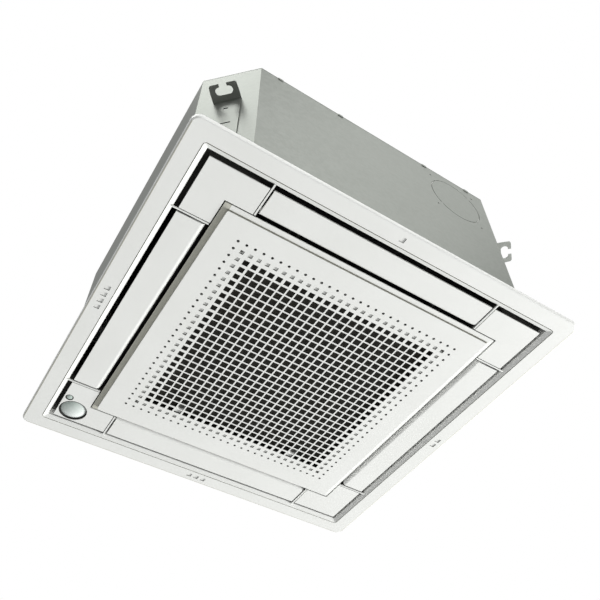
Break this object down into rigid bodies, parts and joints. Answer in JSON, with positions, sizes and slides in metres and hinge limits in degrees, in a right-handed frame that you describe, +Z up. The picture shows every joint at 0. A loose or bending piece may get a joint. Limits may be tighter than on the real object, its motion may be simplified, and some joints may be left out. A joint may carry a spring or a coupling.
{
  "type": "ceiling cassette air conditioner",
  "caption": "Compact square ceiling cassette indoor unit with a hinged suction grille, air flaps on every side, corner covers and a galvanised casing hung from open hangers.",
  "frame": {"origin": "centre of the ceiling cut-out, in the plane of the ceiling's underside, which is also the plane of the top of the panel's border", "axes": "+Z up, -Y towards the side where the suction grille is hinged, +Y towards the side where pipes and drain leave"},
  "size_m": [0.62, 0.6325, 0.311],
  "materials": {
    "panel_white": "fine satin",
    "casing_steel": "galvanised",
    "bright_steel": "zinc plated",
    "foam_white": "foam",
    "foam_black": "foam rubber",
    "black_plastic": "matte",
    "grey_plastic": "matte",
    "sensor_lens": "glossy lens",
    "filter_net": "fine net",
    "aluminium_fins": "finned",
    "copper_tube": "drawn copper",
    "brass_union": "machined",
    "board_green": "solder mask",
    "motor_grey": "painted",
    "hose_black": "rubber",
    "float_orange": "matte"
  },
  "bodies": {
    "unit": {"casing": "casing_steel", "top_plate": "casing_steel", "knockout_disc": "casing_steel", "insulation": "foam_white", "hanger_front_left": "casing_steel", "hanger_front_right": "casing_steel", "hanger_rear_right": "casing_steel", "hanger_rear_left": "casing_steel", "coil_fins": "aluminium_fins", "coil_tubes": "copper_tube", "tube_sheets": "casing_steel", "drain_pan": "foam_black", "bell_mouth": "black_plastic", "fan_motor": "motor_grey", "motor_mounts": "foam_black", "pump_body": "grey_plastic", "float_switch": "grey_plastic", "drain_hose": "hose_black", "drain_socket": "panel_white", "liquid_pipe": "copper_tube", "gas_pipe": "copper_tube", "liquid_union": "brass_union", "gas_union": "brass_union", "pipe_plate": "casing_steel", "control_box": "casing_steel", "control_lid": "casing_steel", "circuit_board": "board_green", "terminal_block": "black_plastic", "panel_frame": "panel_white", "rim_seal": "foam_black", "duct_seal": "foam_black", "corner_cover_front_left": "panel_white", "corner_cover_front_right": "panel_white", "corner_cover_rear_right": "panel_white", "corner_cover_rear_left": "panel_white", "sensor_dome": "sensor_lens", "sensor_bezel": "black_plastic", "signal_receiver": "sensor_lens", "flap_motors": "grey_plastic", "latch_keepers": "bright_steel", "hinge_pins": "bright_steel", "panel_screws": "bright_steel"},
    "fan": {"turbo_fan": "grey_plastic", "motor_shaft": "bright_steel", "fan_nut": "bright_steel"},
    "pump_rotor": {"pump_impeller": "panel_white"},
    "pump_float": {"float_ring": "float_orange"},
    "front_flap": {"flap_front": "panel_white"},
    "right_flap": {"flap_right": "panel_white"},
    "rear_flap": {"flap_rear": "panel_white"},
    "left_flap": {"flap_left": "panel_white"},
    "grille": {"suction_grille": "panel_white", "grille_lattice": "panel_white", "filter_frame": "grey_plastic", "filter_mesh": "filter_net"},
    "left_latch": {"latch_left": "panel_white"},
    "right_latch": {"latch_right": "panel_white"}
  },
  "joints": [
    {"name": "grille_hinge", "type": "hinge", "parent": "unit", "child": "grille", "pos_m": [0, -0.2155, -0.0015], "axis": [-1, 0, 0], "range_deg": [0, 90]},
    {"name": "left_latch_slide", "type": "slide", "parent": "grille", "child": "left_latch", "axis": [0, 1, 0], "range_m": [0, 0.005]},
    {"name": "right_latch_slide", "type": "slide", "parent": "grille", "child": "right_latch", "axis": [0, 1, 0], "range_m": [0, 0.005]},
    {"name": "front_flap_hinge", "type": "hinge", "parent": "unit", "child": "front_flap", "pos_m": [0, -0.235, 0.001], "axis": [1, 0, 0], "range_deg": [0, 60]},
    {"name": "right_flap_hinge", "type": "hinge", "parent": "unit", "child": "right_flap", "pos_m": [0.235, 0, 0.001], "axis": [0, 1, 0], "range_deg": [0, 60]},
    {"name": "rear_flap_hinge", "type": "hinge", "parent": "unit", "child": "rear_flap", "pos_m": [0, 0.235, 0.001], "axis": [-1, 0, 0], "range_deg": [0, 60]},
    {"name": "left_flap_hinge", "type": "hinge", "parent": "unit", "child": "left_flap", "pos_m": [-0.235, 0, 0.001], "axis": [0, -1, 0], "range_deg": [0, 60]},
    {"name": "fan_spin", "type": "hinge", "parent": "unit", "child": "fan", "pos_m": [0, 0, 0.18], "axis": [0, 0, 1], "continuous": true},
    {"name": "pump_spin", "type": "hinge", "parent": "unit", "child": "pump_rotor", "pos_m": [-0.172, 0.172, 0.08], "axis": [0, 0, 1], "continuous": true},
    {"name": "float_slide", "type": "slide", "parent": "unit", "child": "pump_float", "axis": [0, 0, 1], "range_m": [0, 0.008]}
  ]
}
